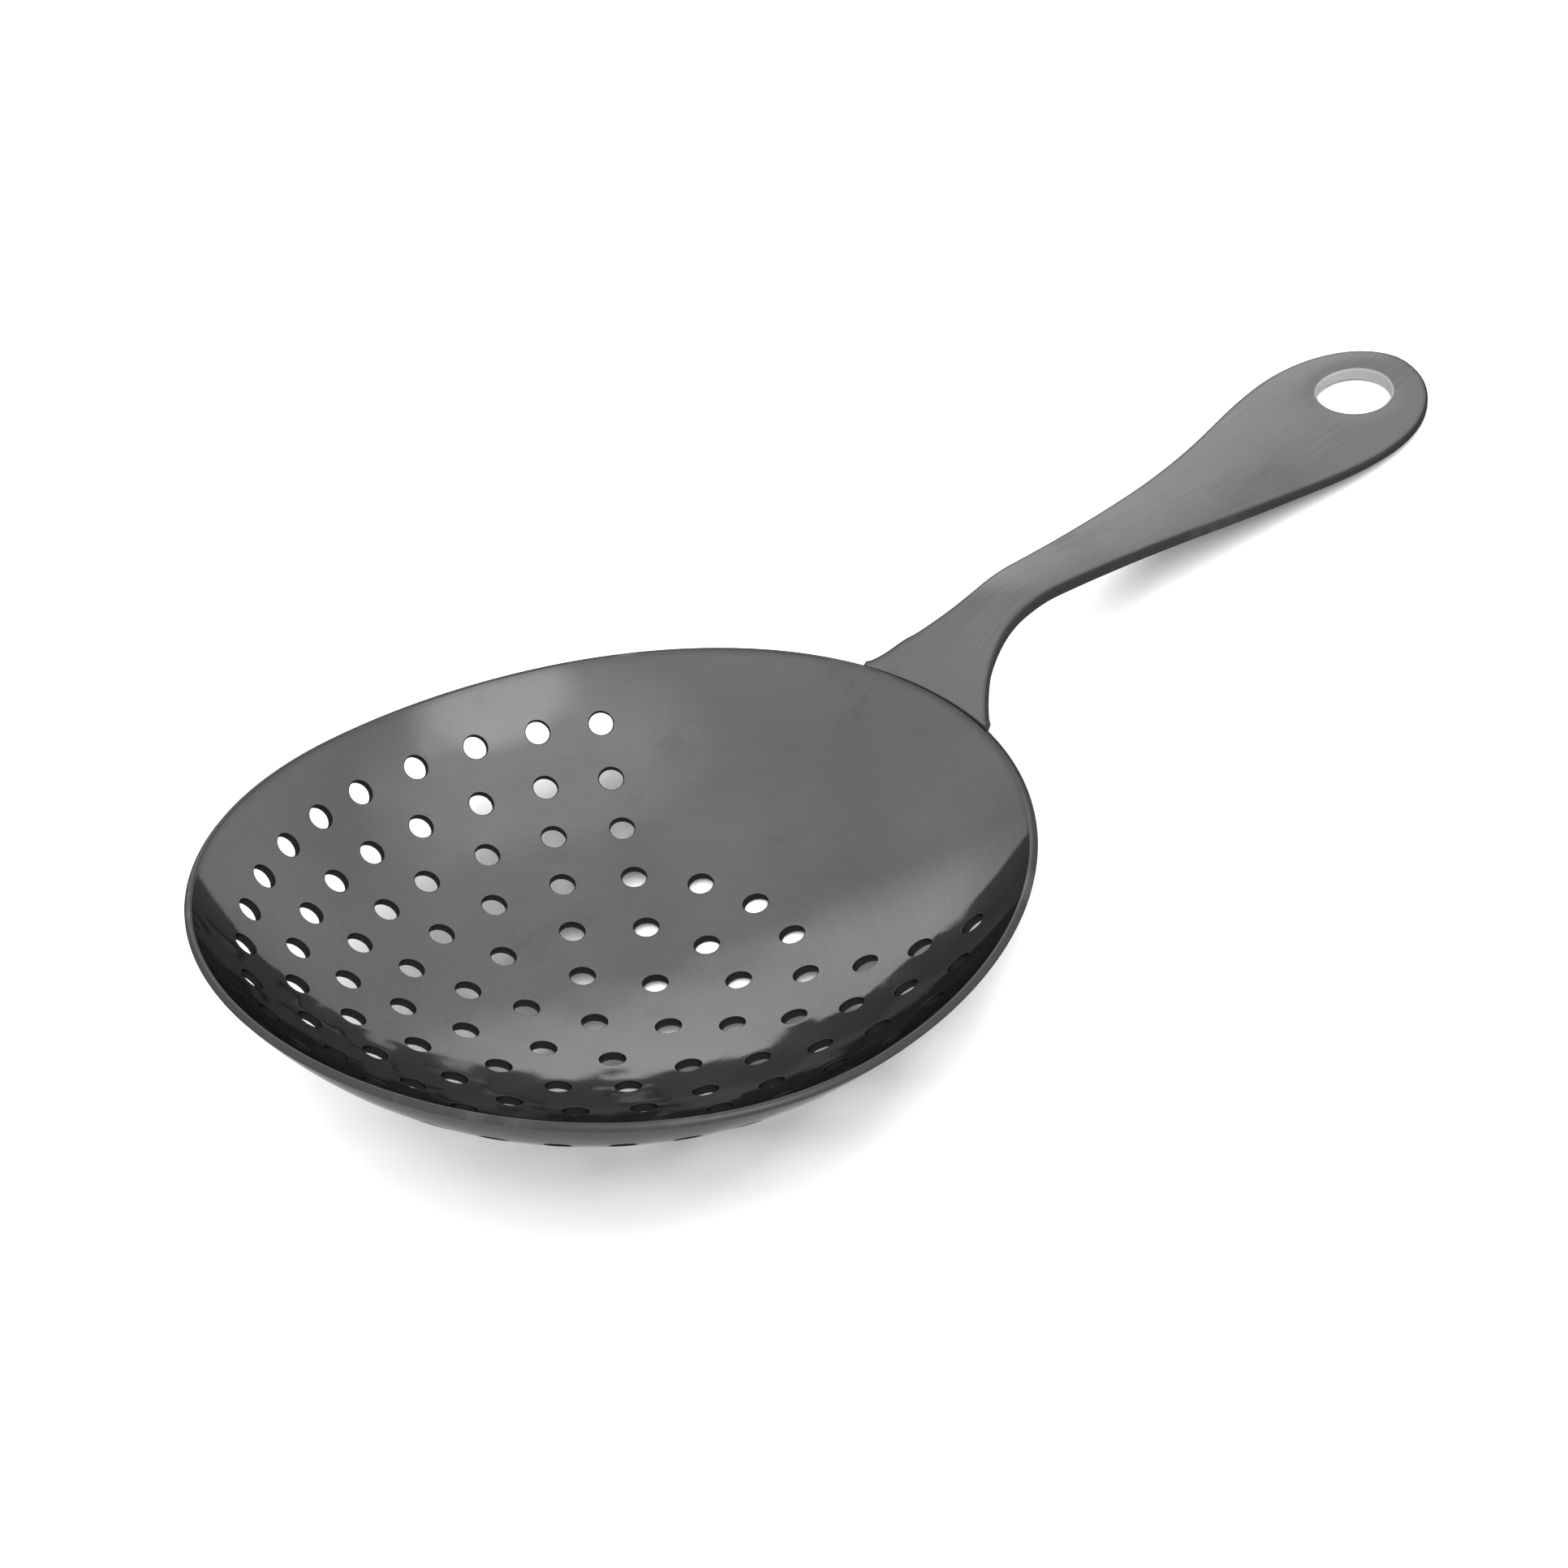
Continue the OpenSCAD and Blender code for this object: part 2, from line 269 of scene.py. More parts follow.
def handle_edge():
    """One side of the handle's outline, from the tongue's end to the tip."""
    a = np.linspace(0, math.pi / 2, CURVE_POINTS)[:-1]
    tongue = np.stack([TONGUE_X - TONGUE_HALF_W * np.cos(a), TONGUE_HALF_W * np.sin(a)], 1)
    a = np.linspace(FLARE, 0, CURVE_POINTS)[:-1]
    neck_y = NECK_HALF_W + NECK_FLARE_R * (1 - np.cos(a))
    neck_edge = np.stack([NECK_X - NECK_FLARE_R * np.sin(a), neck_y], 1)
    flank = [(x, neck * NECK_HALF_W + wide * PADDLE_HALF_W, slope) for x, neck, wide, slope in FLANK]
    stations = [(NECK_X, NECK_HALF_W, 0.0), *flank, (PADDLE_X, PADDLE_HALF_W, 0.0)]
    paddle = np.vstack([hermite(a, b, CURVE_POINTS) for a, b in zip(stations, stations[1:])])
    a = np.linspace(0, math.pi / 2, TIP_POINTS)
    tip_x = PADDLE_X + (TIP_X - PADDLE_X) * np.sin(a) ** (2 / TIP_POWER)
    tip = np.stack([tip_x, PADDLE_HALF_W * np.cos(a) ** (2 / TIP_POWER)], 1)
    tip[-1, 1] = 0
    return np.vstack([tongue, neck_edge, paddle, tip])


EDGE = handle_edge()


def strip_z(xy, down):
    """Height of the strip at xy, this far below its top: a bend, a straight and an upward curve."""
    r = np.hypot(xy[:, 0], xy[:, 1])
    bend = BEND_CZ + np.sqrt(np.maximum((BEND_R - down) ** 2 - (r - BEND_CX) ** 2, 0.01))
    flat = STRIP_TOP - (r - BEND_X) * math.tan(DROOP) - down / math.cos(DROOP)
    sweep = SWEEP_CZ - np.sqrt((SWEEP_R + down) ** 2 - (r - SWEEP_CX) ** 2)
    z = np.where(r < BEND_X - down * math.sin(DROOP), bend, flat)
    return np.where(r > SWEEP_X - down * math.sin(DROOP), sweep, z)


def handle_top(xy):
    """The tongue's top under the bowl, which turns into the strip's crowned top."""
    half = np.interp(xy[:, 0], EDGE[:, 0], EDGE[:, 1])
    share = np.clip(np.abs(xy[:, 1]) / np.maximum(half, 1.0), 0, 1)
    join = smooth(*TOP_JOIN, xy[:, 0])
    crown = CROWN * np.minimum(half, CROWN_MAX_W) * share**2 * smooth(*CROWN_START, xy[:, 0])
    z = (1 - join) * shell_z(xy, SHEET_T + BRAZE_T) + join * strip_z(xy, 0.0)
    hang = np.hypot(xy[:, 0] - HANG_X, xy[:, 1]) - HANG_R
    dish = DISH_DEPTH * np.exp(-((hang / DISH_REACH) ** 2))
    return np.column_stack([xy, z - crown - dish])


def handle_under(xy):
    join = smooth(*UNDER_JOIN, xy[:, 0])
    z = (1 - join) * shell_z(xy, SHEET_T + BRAZE_T + TONGUE_T) + join * strip_z(xy, STRIP_T)
    return np.column_stack([xy, z])


# ---- Sheets made of two surfaces and rounded edges.
MARKS_ROUND, MARKS_ALONG = 3.0, 0.06  # how fast the polishing marks change in their own direction
FACE_SHADE_AND_WEAR = 0.4  # share of an edge's painted shade and wear that starts on the faces beside it


def with_normals(surface, xy, side):
    """Points of a surface over xy, and its normals. side is 1 for one that faces up and -1 for down."""
    along = surface(xy + (PROBE, 0)) - surface(xy - (PROBE, 0))
    over = surface(xy + (0, PROBE)) - surface(xy - (0, PROBE))
    return surface(xy), unit(np.cross(along, over)) * side


def ring_round(xy, r):
    """A ring of points round a hole in the bowl, square to the sheet, clockwise."""
    p, n = with_normals(bowl_face, np.array([xy]), 1)
    e1 = unit(np.cross([[0.0, 1.0, 0.0]], n))[0]
    e2 = np.cross(n[0], e1)
    a = -np.arange(HOLE_SIDES) * math.tau / HOLE_SIDES
    ring = p[0] + r * (np.outer(np.cos(a), e1) + np.outer(np.sin(a), e2))
    return ring[:, :2]


def triangles(flat, loops, sizes):
    """Triangles inside the first loop and outside the others. The points keep their numbers."""
    edges, start, loop_of = [], 0, np.full(len(flat), -1)
    for k, n in enumerate(sizes[:loops]):
        edges += [(start + i, start + (i + 1) % n) for i in range(n)]
        loop_of[start : start + n] = k
        start += n
    made = delaunay_2d_cdt([Vector(p) for p in flat], edges, [], 0, 1e-9)
    origin = [o[0] for o in made[3]]
    tri = np.array([[origin[i] for i in f] for f in made[2]])
    a, b, c = flat[tri[:, 0]], flat[tri[:, 1]], flat[tri[:, 2]]
    area = (b[:, 0] - a[:, 0]) * (c[:, 1] - a[:, 1]) - (b[:, 1] - a[:, 1]) * (c[:, 0] - a[:, 0])
    tri[area < 0] = tri[area < 0][:, ::-1]
    of = loop_of[tri]
    one = (of[:, 0] == of[:, 1]) & (of[:, 1] == of[:, 2]) & (of[:, 0] >= 0)
    outer = one & (of[:, 0] == 0)
    outer[outer] = ~inside_by(((a + b + c) / 3)[outer], flat[: sizes[0]], 0)
    return tri[~(one & (of[:, 0] > 0)) & ~outer]


def sheet(name, loops, fill, flat, upper, lower, rounds, grain):
    """A sheet with rounded edges between an upper and a lower surface. loops holds each edge's points and
    its directions into the void: first the outline, anticlockwise, then the holes, clockwise. rounds
    holds what each edge is like. flat lays the plan out for even triangles."""
    plan = np.vstack([p for p, _ in loops] + [fill])
    tri = triangles(flat(plan), len(loops), [len(p) for p, _ in loops])
    top, top_n = with_normals(upper, plan, 1)
    low, low_n = with_normals(lower, plan, -1)
    count = len(plan)
    verts, normals = [top, low], [top_n, low_n]
    streak, edge_shade_and_wear, painted_hole_wall_mask = [grain(plan), grain(plan)], [np.zeros(2 * count)], [np.zeros(2 * count)]
    faces = [tri, tri[:, ::-1] + count]
    total, start = 2 * count, 0
    # The third number of each edge's rounds marks a wall that takes the painted wall tone; the fourth sets
    # how much painted edge shade and wear the edge takes.
    for (points, void), (r_top, r_low, punched, shade_and_wear_share) in zip(loops, rounds):
        n = len(points)
        own = np.arange(start, start + n)
        h = PROBE * void
        w_top = unit(upper(points + h) - upper(points - h))
        w_low = unit(lower(points + h) - lower(points - h))
        rings = [own]
        turns = [math.pi / 2 * (i + 1) / ROUND_STEPS for i in range(ROUND_STEPS)]
        for p, nn, w, r, order in (
            (top[own], top_n[own], w_top, r_top, turns),
            (low[own], low_n[own], w_low, r_low, turns[::-1]),
        ):
            for t in order:
                verts.append(p + w * r * math.sin(t) - nn * r * (1 - math.cos(t)))
                normals.append(unit(nn * math.cos(t) + w * math.sin(t)))
                streak.append(grain(points))
                # These rows carry the edge's painted shade and wear, and whether its wall takes the painted
                # wall tone.
                edge_shade_and_wear.append(np.full(n, shade_and_wear_share))
                painted_hole_wall_mask.append(np.full(n, punched))
                rings.append(np.arange(total, total + n))
                total += n
        rings.append(own + count)
        # The faces beside the edge take part of its painted shade and wear.
        edge_shade_and_wear[0][own] = edge_shade_and_wear[0][own + count] = FACE_SHADE_AND_WEAR * shade_and_wear_share
        for a, b in zip(rings, rings[1:]):
            faces.append(np.stack([a, b, np.roll(b, -1), np.roll(a, -1)], 1))
        start += n
    layers = {"grain": np.vstack(streak), "edge_shade_and_wear": np.concatenate(edge_shade_and_wear), "painted_hole_wall_mask": np.concatenate(painted_hole_wall_mask)}
    return mesh_piece(name, np.vstack(verts), np.vstack(normals), faces, layers)


def mesh_piece(name, verts, normals, faces, layers):
    """An object with its own normals and a point attribute for each of the layers."""
    mesh = bpy.data.meshes.new(name)
    mesh.from_pydata(to_rest(verts).tolist(), [], [f.tolist() for group in faces for f in group])
    for label, values in layers.items():
        kind, field = ("FLOAT", "value") if values.ndim == 1 else ("FLOAT_VECTOR", "vector")
        layer = mesh.attributes.new(label, kind, "POINT")
        layer.data.foreach_set(field, values.astype(np.float32).ravel())
    mesh.shade_smooth()
    mesh.normals_split_custom_set_from_vertices(turn_to_rest(normals).tolist())
    piece = bpy.data.objects.new(name, mesh)
    bpy.context.scene.collection.objects.link(piece)
    return piece


def outward(points):
    """Directions out of an anticlockwise outline."""
    run = np.roll(points, -1, 0) - np.roll(points, 1, 0)
    return unit(np.stack([run[:, 1], -run[:, 0]], 1))


def make_bowl():
    way = np.arange(RIM_SIDES) * math.tau / RIM_SIDES
    arc = rim_arc(way)
    rim = bowl_xy(arc - RIM_ROUNDS[0], way)
    loops, rounds = [(rim, outward(rim))], [RIM_ROUNDS]
    fill = [bowl_xy(arc - RIM_ROUNDS[0] - gap, way) for gap in RIM_INSETS]
    for place in HOLES:
        ring = ring_round(place, HOLE_R + HOLE_ROUNDS[0])
        loops.append((ring, unit(place - ring)))
        rounds.append(HOLE_ROUNDS)
        fill += [ring_round(place, HOLE_R + gap) for gap in HOLE_RINGS]
    for i, s in enumerate(np.arange(BOWL_FILL / 2, arc.max(), BOWL_FILL * ROW)):
        count = max(6, round(math.tau * s / BOWL_FILL * 1.05))
        around = (np.arange(count) + 0.5 * (i % 2)) * math.tau / count
        keep = s < np.interp(around, way, arc, period=math.tau) - RIM_ROUNDS[0] - RIM_CLEAR
        ring = bowl_xy(np.full(count, s), around)[keep]
        fill.append(ring[hole_gap(ring) > HOLE_CLEAR] if len(ring) else ring)
    return sheet(
        "bowl_pressing",
        loops,
        np.vstack(fill),
        bowl_flat,
        bowl_face,
        lambda xy: bowl_face(xy, SHEET_T),
        rounds,
        bowl_grain,
    )


def bowl_grain(xy):
    """Coordinates whose third runs across the polishing marks, which go round the bowl."""
    u, v = unstretch(xy)
    r = np.maximum(np.hypot(u, v), 1e-6)
    return np.stack([u / r * MARKS_ROUND, v / r * MARKS_ROUND, arc_of(r)], 1)


def strip_grain(xy):
    """The same for the handle, whose marks go along it."""
    return np.stack([xy[:, 0] * MARKS_ALONG, np.zeros(len(xy)), xy[:, 1]], 1)


def inset(points, by):
    """The outline moved inwards."""
    return points - outward(points) * by


def closed(edge):
    """The whole anticlockwise outline from its half with positive y."""
    return np.vstack([edge * (1, -1), edge[-2:0:-1]])


def inside_by(points, outline, by):
    """Which points lie inside the outline and at least this far from it."""
    a, b = outline, np.roll(outline, -1, 0)
    near = np.full(len(points), 1e9)
    odd = np.zeros(len(points), bool)
    for p, q in zip(a, b):
        d = q - p
        t = np.clip(((points - p) @ d) / (d @ d), 0, 1)
        near = np.minimum(near, np.linalg.norm(points - p - t[:, None] * d, axis=1))
        span = (p[1] > points[:, 1]) != (q[1] > points[:, 1])
        cross = p[0] + (points[:, 1] - p[1]) * d[0] / (d[1] if d[1] else 1e-12)
        odd ^= span & (points[:, 0] < cross)
    return odd & (near > by)


def grid(lo, hi, step):
    """Staggered rows of points."""
    rows = np.arange(lo[1], hi[1], step * ROW)
    made = [
        np.stack([x, np.full(len(x), y)], 1)
        for i, y in enumerate(rows)
        for x in [np.arange(lo[0] + 0.5 * step * (i % 2), hi[0], step)]
    ]
    return np.vstack(made)


def make_handle():
    outline = inset(closed(EDGE), STRIP_ROUNDS[0])
    a = -np.arange(HANG_SIDES) * math.tau / HANG_SIDES
    circle = np.stack([np.cos(a), np.sin(a)], 1)
    centre = np.array([HANG_X, 0.0])
    hang = centre + circle * (HANG_R + HANG_ROUNDS[0])
    loops = [(outline, outward(outline)), (hang, -circle)]
    fill = [inset(outline, by) for by in STRIP_INSETS]
    fill += [centre + circle * (HANG_R + gap) for gap in HANG_RINGS]
    points = grid((TONGUE_X - TONGUE_HALF_W, -PADDLE_HALF_W), (TIP_X, PADDLE_HALF_W), STRIP_FILL)
    off_hole = np.hypot(*(points - centre).T) > HANG_R + HANG_CLEAR
    fill.append(points[inside_by(points, outline, STRIP_CLEAR) & off_hole])
    return sheet(
        "handle_strip",
        loops,
        np.vstack(fill),
        lambda xy: xy,
        handle_top,
        handle_under,
        [STRIP_ROUNDS, HANG_ROUNDS],
        strip_grain,
    )


def tongue_gap(xy):
    """Distance outside the tongue's edge."""
    x, y = xy[:, 0], np.abs(xy[:, 1])
    end = np.hypot(x - TONGUE_X, y) - TONGUE_HALF_W
    flare_y = NECK_HALF_W + NECK_FLARE_R
    side = NECK_FLARE_R - np.hypot(x - NECK_X, y - flare_y)
    return np.where(x < TONGUE_X, end, np.where(x < FLARE_X, y - TONGUE_HALF_W, side))


def braze_under(xy):
    """The filler's lower face: a film over the tongue and a hollow fillet along its edge."""
    gap = tongue_gap(xy)
    d = np.clip(gap, 0, FILLET)
    bead = FILLET - np.sqrt(FILLET**2 - (FILLET - d) ** 2)
    out = np.where(gap > 0, FEATHER + bead, BRAZE_T)
    return np.column_stack([xy, shell_z(xy, SHEET_T + out)])


def braze_end(y):
    """How far the filler reaches along x: to just below the rim of the bowl."""
    lo, hi = np.full(len(y), 30.0), np.full(len(y), 52.0)  # the rim lies between these
    for _ in range(30):
        x = (lo + hi) / 2
        over = shell_z(np.stack([x, y], 1), SHEET_T) > rim_z(x) - BRAZE_DROP
        lo, hi = np.where(over, lo, x), np.where(over, x, hi)
    return lo


def tongue_ring(gap):
    """One side of the outline this far outside the tongue, from its round end to the neck."""
    a = np.linspace(0, math.pi / 2, TONGUE_POINTS)
    arc = np.stack([-np.cos(a), np.sin(a)], 1) * (TONGUE_HALF_W + gap) + (TONGUE_X, 0)
    x = np.linspace(TONGUE_X, FLARE_X, SIDE_POINTS)[1:]
    side = np.stack([x, np.full(len(x), TONGUE_HALF_W + gap)], 1)
    return np.vstack([arc, side])


def make_braze():
    half = tongue_ring(FILLET)
    half = half[half[:, 0] < braze_end(half[:, 1]) - 0.1]
    y = np.linspace(half[-1, 1], 0, BRAZE_END_POINTS)
    end = np.stack([braze_end(y), y], 1)
    outline = closed(np.vstack([half, end]))
    reach = TONGUE_HALF_W + 0.4
    points = grid((TONGUE_X - reach, -reach), (FLARE_X, reach), BRAZE_FILL)
    keep = inside_by(points, outline, BRAZE_CLEAR) & (tongue_gap(points) < -0.6)
    inner = [np.vstack([p * (1, -1), p[1:]]) for p in map(tongue_ring, BEAD_RINGS)]
    inner = [p[inside_by(p, outline, 0.05)] for p in inner]
    return sheet(
        "braze_fillet",
        [(outline, outward(outline))],
        np.vstack(inner + [points[keep]]),
        lambda xy: xy,
        lambda xy: np.column_stack([xy, shell_z(xy, SHEET_T - BRAZE_BITE)]),
        braze_under,
        [BRAZE_ROUNDS],
        strip_grain,
    )


# ---- Materials. Tones are linear, and lengths are in metres.
STEEL, STRIP_STEEL, FILLER = (0.25, 0.25, 0.253), (0.31, 0.31, 0.313), (0.2, 0.195, 0.18)
# Painted shade: the rounded rim and the handle's sides get a darker tone in place of the shade that they
# mirror.
RIM_PAINTED_SHADE = (0.14, 0.14, 0.142, 1.0)
SIDE_PAINTED_SHADE = (0.09, 0.09, 0.09, 1.0)
WORN_TONE = (0.36, 0.36, 0.36, 1.0)
# Painted tones on the walls of the holes: near black as painted shade in the bowl's holes, near white as a
# painted highlight in the hang hole.
HOLE_WALL_PAINTED_SHADE = (0.04, 0.04, 0.04, 1.0)
HANG_WALL_PAINTED_HIGHLIGHT = (0.85, 0.85, 0.85, 1.0)
GRAZING_TONE = (0.5, 0.5, 0.5, 1.0)
METALLIC = 0.98
MID = (0.3, 0.7)  # most of a noise's values lie in here
CLOUD_SCALE, SMUDGE_SCALE = 45.0, (60.0, 140.0, 60.0)
BUMP_STRENGTH = 0.5
MARK_DEPTH = 0.0001  # depth of the polishing marks on metal with a grit of 1
SWELL_SCALE, SWELL_DEPTH = 150.0, 0.00003  # slow waves that the pressing leaves
EDGE_ROUGH, WALL_ROUGH = 0.15, 0.4  # how much rougher a handled edge and a raw cut wall are


def node(tree, kind, inputs=(), **settings):
    """A shader node. inputs holds a value or another node's output for each of its sockets."""
    made = tree.nodes.new(kind)
    for key, value in settings.items():
        setattr(made, key, value)
    for key, value in dict(inputs).items():
        if isinstance(value, bpy.types.NodeSocket):
            tree.links.new(value, made.inputs[key])
        else:
            made.inputs[key].default_value = value
    return made


def maths(tree, operation, *values):
    return node(tree, "ShaderNodeMath", enumerate(values), operation=operation).outputs[0]


def spread(tree, value, lo, hi, to_lo, to_hi):
    """Maps a range of values to another, clamped."""
    inputs = {"Value": value, "From Min": lo, "From Max": hi, "To Min": to_lo, "To Max": to_hi}
    return node(tree, "ShaderNodeMapRange", inputs, interpolation_type="SMOOTHSTEP").outputs["Result"]


def noise(tree, vector, scale, detail, rough):
    inputs = {"Vector": vector, "Scale": scale, "Detail": detail, "Roughness": rough}
    return node(tree, "ShaderNodeTexNoise", inputs).outputs["Fac"]


def scaled(tree, vector, factors):
    made = node(tree, "ShaderNodeVectorMath", {0: vector, 1: factors}, operation="MULTIPLY")
    return made.outputs["Vector"]


def blend(tree, share, tone_a, tone_b):
    """Mixes two colours. The node's colour sockets are numbers 6 and 7 in and 2 out."""
    return node(tree, "ShaderNodeMix", {"Factor": share, 6: tone_a, 7: tone_b}, data_type="RGBA").outputs[2]


def bump(tree, height, depth, inputs=()):
    inputs = {"Height": height, "Strength": BUMP_STRENGTH, "Distance": depth, **dict(inputs)}
    return node(tree, "ShaderNodeBump", inputs).outputs["Normal"]


def metal(name, tone, edge_painted_shade, hole_wall_painted_tone, shade_and_wear_share, rough, marks, grit):
    """Dark coated steel: a cloudy tone, fine polishing marks, faint smudges, painted shade on the rounded
    edge that wear rubs lighter in places, and a painted tone on the walls of its holes (painted shade in the
    bowl's holes, a painted highlight in the hang hole). shade_and_wear_share is how much of the edge's
    painted shade wear rubs lighter, marks is how many polishing marks there are to the millimetre and grit
    how strong they are."""
    material = bpy.data.materials.new(name)
    material.use_nodes = True
    tree = material.node_tree
    shader = tree.nodes["Principled BSDF"]
    shader.inputs["Metallic"].default_value = METALLIC
    shader.inputs["Specular Tint"].default_value = GRAZING_TONE
    place = node(tree, "ShaderNodeTexCoord").outputs["Object"]
    grain = node(tree, "ShaderNodeAttribute", attribute_name="grain").outputs["Vector"]
    # Masks of the painted edge shade with its wear, and of the painted tone on the hole walls.
    edge_shade_and_wear = node(tree, "ShaderNodeAttribute", attribute_name="edge_shade_and_wear").outputs["Fac"]
    painted_hole_wall_mask = node(tree, "ShaderNodeAttribute", attribute_name="painted_hole_wall_mask").outputs["Fac"]

    cloud = noise(tree, place, CLOUD_SCALE, 3.0, 0.5)
    smudge = noise(tree, scaled(tree, place, SMUDGE_SCALE), 1.0, 5.0, 0.65)
    streak = noise(tree, scaled(tree, grain, (1.0, 1.0, marks)), 1.0, 4.0, 0.6)
    fine = noise(tree, scaled(tree, grain, (3.0, 3.0, 3.0 * marks)), 1.0, 2.0, 0.5)

    shade = maths(tree, "ADD", spread(tree, cloud, *MID, 0.9, 1.1), spread(tree, streak, *MID, -grit, grit))
    shade = maths(tree, "SUBTRACT", shade, spread(tree, smudge, 0.58, 0.74, 0.0, 0.12))
    base = node(tree, "ShaderNodeVectorMath", {0: tone, 3: shade}, operation="SCALE").outputs["Vector"]
    # Painted shade on the rounded edge, rubbed lighter by wear in places.
    edge = blend(tree, spread(tree, smudge, 0.54, 0.7, 0.0, shade_and_wear_share), edge_painted_shade, WORN_TONE)
    # Over the coat go the painted edge shade and the painted tone of the hole walls: shade in the bowl's
    # holes, a highlight in the hang hole.
    coat_with_painted_light = blend(tree, painted_hole_wall_mask, blend(tree, edge_shade_and_wear, base, edge), hole_wall_painted_tone)
    tree.links.new(coat_with_painted_light, shader.inputs["Base Color"])

    roughness = spread(tree, cloud, *MID, 0.8 * rough, 1.2 * rough)
    for more in (
        spread(tree, smudge, 0.5, 0.75, 0.0, 0.08),
        spread(tree, streak, *MID, -0.15 * rough, 0.15 * rough),
        maths(tree, "MULTIPLY", edge_shade_and_wear, EDGE_ROUGH),
        maths(tree, "MULTIPLY", painted_hole_wall_mask, WALL_ROUGH),
    ):
        roughness = maths(tree, "ADD", roughness, more)
    tree.links.new(roughness, shader.inputs["Roughness"])

    height = maths(tree, "ADD", maths(tree, "MULTIPLY", streak, 0.5), maths(tree, "MULTIPLY", fine, 0.5))
    marked = bump(tree, height, MARK_DEPTH * grit)
    wave = noise(tree, place, SWELL_SCALE, 2.0, 0.5)
    tree.links.new(bump(tree, wave, SWELL_DEPTH, {"Normal": marked}), shader.inputs["Normal"])
    return material


# Tones for the painted edge shade and the painted hole walls: shade in the bowl's holes, a highlight in the
# handle's hang hole.
bowl_metal = metal(
    "gunmetal_bowl", STEEL, RIM_PAINTED_SHADE, HOLE_WALL_PAINTED_SHADE, shade_and_wear_share=0.35, rough=0.045, marks=6.0, grit=0.03
)
handle_metal = metal(
    "gunmetal_handle", STRIP_STEEL, SIDE_PAINTED_SHADE, HANG_WALL_PAINTED_HIGHLIGHT, shade_and_wear_share=0.15, rough=0.22, marks=6.0, grit=0.08
)
filler_metal = metal(
    "braze_filler", FILLER, SIDE_PAINTED_SHADE, HOLE_WALL_PAINTED_SHADE, shade_and_wear_share=0.1, rough=0.35, marks=3.0, grit=0.08
)
for piece, cad, material in (
    (make_bowl(), "bowl", bowl_metal),
    (make_handle(), "handle", handle_metal),
    (make_braze(), "braze", filler_metal),
):
    piece.data.materials.append(material)
    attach(piece, "root")
    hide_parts(cad)


# ---- Table, light and camera, in metres.
TABLE_HALF = 0.6
TABLE_DROP = 0.00005  # just clears the lowest points of the rounded pieces
PAPER, PAPER_ROUGH = (0.9, 0.9, 0.9, 1.0), 0.9
ROOM = 0.56  # brightness of the room that the metal reflects
# The direction towards each glow, the cosines between which it rises, and its brightness.
GLOWS = (
    ((0.33, -0.38, 0.865), (0.84, 0.985), 0.82),
    ((0.26, -0.67, 0.7), (0.958, 0.99), 1.0),
    ((0.56, 0.8, 0.21), (0.86, 0.992), 1.07),
)
LIGHT_PLACE, LIGHT_SIZE, LIGHT_POWER = (-0.1, -0.22, 1.15), 2.2, 52.0
CAMERA_PLACE, CAMERA_LENS, SENSOR = (-0.24607, -0.27539, 0.33421), 110.41, 36.0
CAMERA_RIGHT = (0.675928, -0.723874, -0.138305)
CAMERA_UP = (0.562873, 0.385942, 0.730906)
CAMERA_BACK = (-0.475706, -0.571888, 0.668318)


def make_floor():
    """A white table. The metal mirrors only the room, not the table."""
    mesh = bpy.data.meshes.new("floor")
    corners = [(TABLE_HALF * x, TABLE_HALF * y, -TABLE_DROP) for x, y in ((-1, -1), (1, -1), (1, 1), (-1, 1))]
    mesh.from_pydata(corners, [], [(0, 1, 2, 3)])
    floor = bpy.data.objects.new("floor", mesh)
    bpy.context.scene.collection.objects.link(floor)
    material = bpy.data.materials.new("white_table")
    material.use_nodes = True
    shader = material.node_tree.nodes["Principled BSDF"]
    shader.inputs["Base Color"].default_value = PAPER
    shader.inputs["Roughness"].default_value = PAPER_ROUGH
    mesh.materials.append(material)
    floor.visible_glossy = False


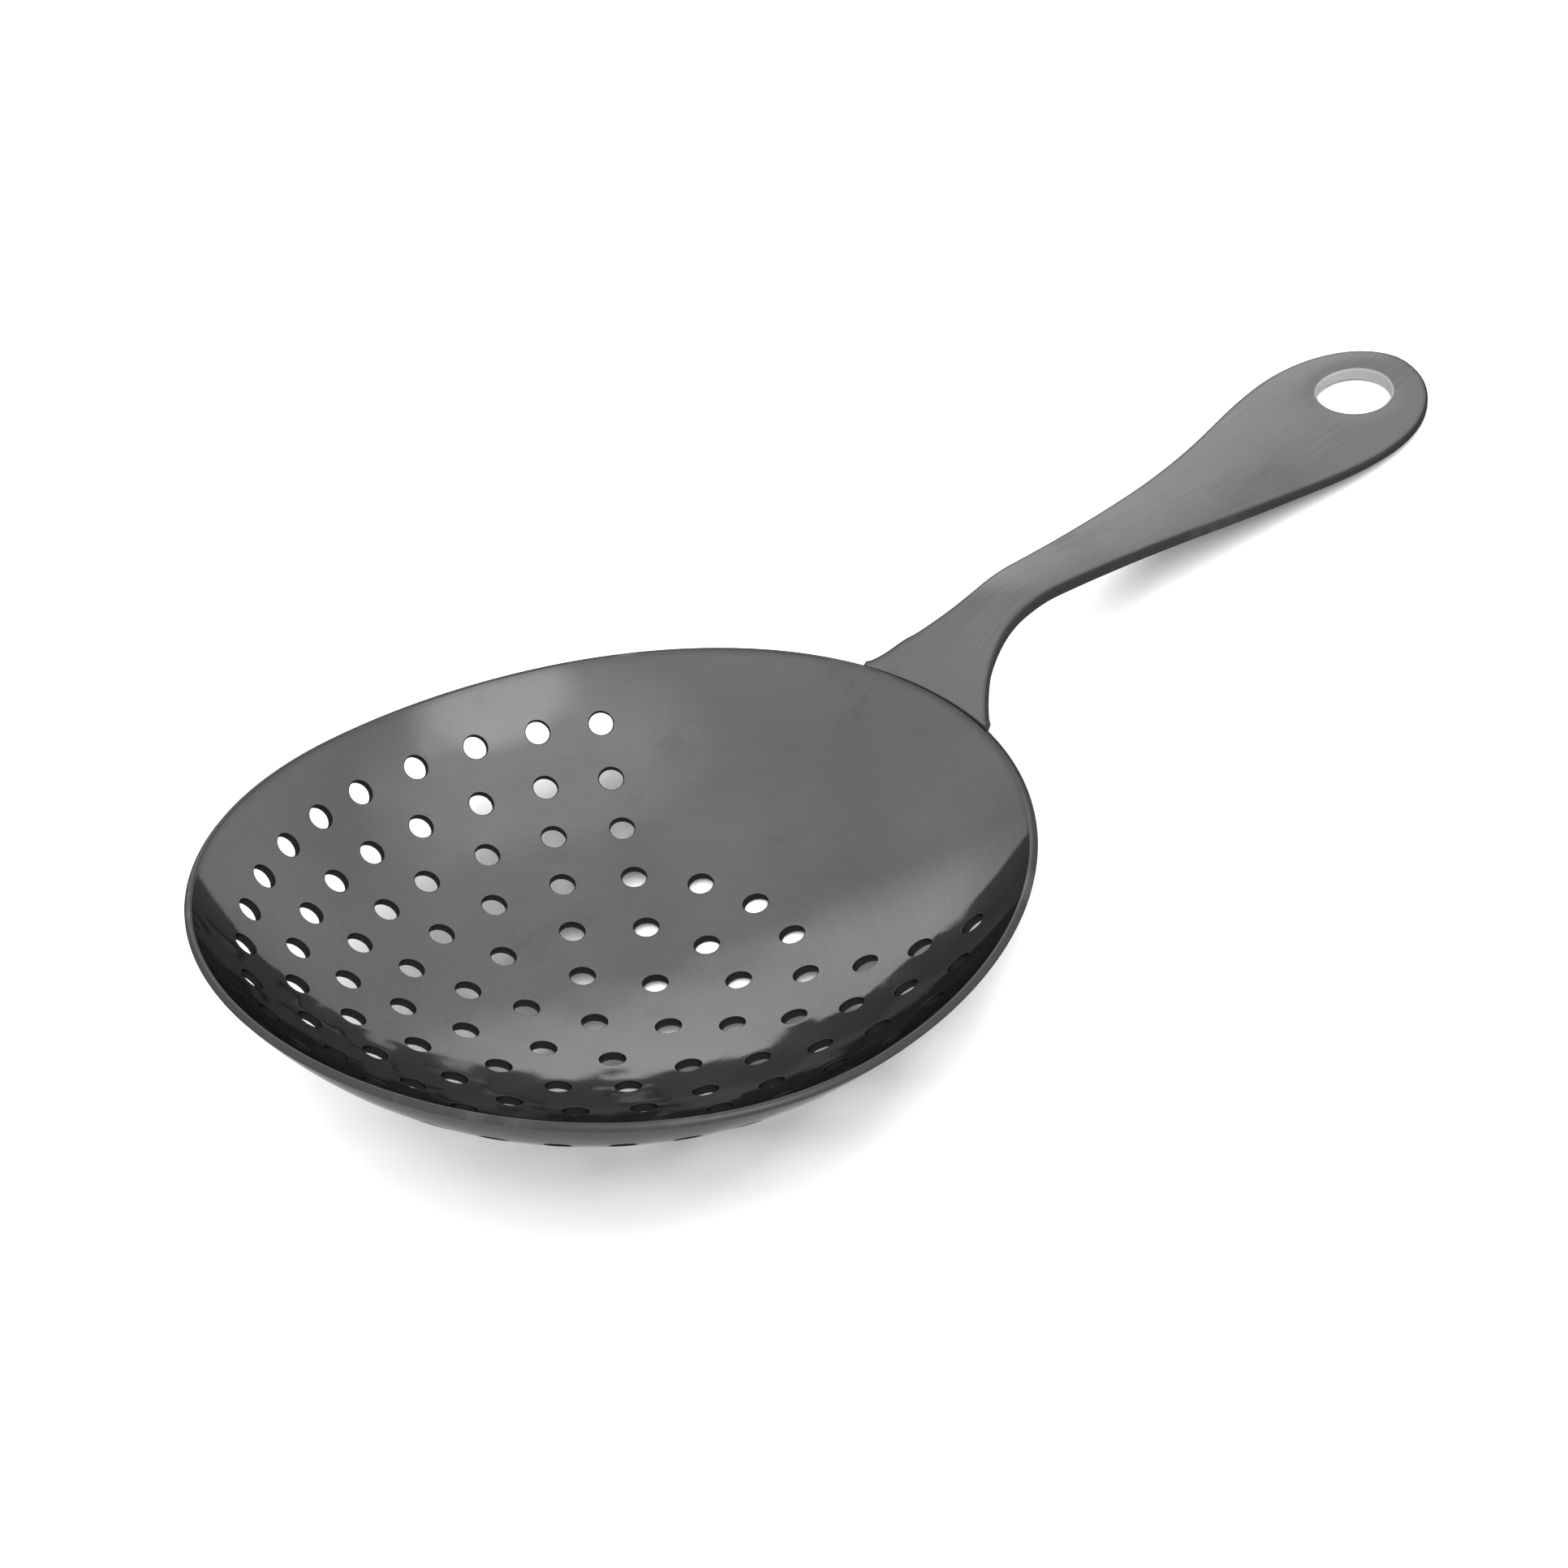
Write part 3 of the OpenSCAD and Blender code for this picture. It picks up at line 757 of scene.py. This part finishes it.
def make_light():
    """A wide soft light overhead, towards the camera's side. It isn't mirrored in the metal."""
    data = bpy.data.lights.new("overhead", "AREA")
    data.shape = "DISK"
    data.size = LIGHT_SIZE
    data.energy = LIGHT_POWER
    light = bpy.data.objects.new("overhead", data)
    light.location = LIGHT_PLACE
    light.rotation_euler = (-Vector(LIGHT_PLACE)).to_track_quat("-Z", "Y").to_euler()
    light.visible_glossy = False
    bpy.context.scene.collection.objects.link(light)


def make_world():
    """An evenly lit room with three soft glows. Seen directly it is white."""
    world = bpy.data.worlds.new("studio")
    bpy.context.scene.world = world
    world.use_nodes = True
    tree = world.node_tree
    way = node(tree, "ShaderNodeTexCoord").outputs["Generated"]
    glow = ROOM
    for towards, (start, full), level in GLOWS:
        inputs = {0: way, 1: Vector(towards).normalized()}
        facing = node(tree, "ShaderNodeVectorMath", inputs, operation="DOT_PRODUCT").outputs["Value"]
        glow = maths(tree, "ADD", glow, spread(tree, facing, start, full, 0.0, level - ROOM))
    seen = node(tree, "ShaderNodeLightPath").outputs["Is Camera Ray"]
    room = tree.nodes["Background"]
    room.inputs["Color"].default_value = (1, 1, 1, 1)
    tree.links.new(glow, room.inputs["Strength"])
    white = node(tree, "ShaderNodeBackground", {"Color": (1, 1, 1, 1), "Strength": 1.0})
    mix = node(tree, "ShaderNodeMixShader", {0: seen, 1: room.outputs[0], 2: white.outputs[0]})
    tree.links.new(mix.outputs[0], tree.nodes["World Output"].inputs["Surface"])


def make_camera():
    """The camera stands where the photograph's camera stood."""
    data = bpy.data.cameras.new("camera")
    data.lens, data.sensor_width = CAMERA_LENS, SENSOR
    camera = bpy.data.objects.new("camera", data)
    turn = Matrix((CAMERA_RIGHT, CAMERA_UP, CAMERA_BACK)).transposed().to_4x4()
    camera.matrix_world = Matrix.Translation(Vector(CAMERA_PLACE)) @ turn
    bpy.context.scene.collection.objects.link(camera)
    bpy.context.scene.camera = camera


make_floor()
make_world()
make_light()
make_camera()
bpy.context.scene.view_settings.view_transform = "Standard"
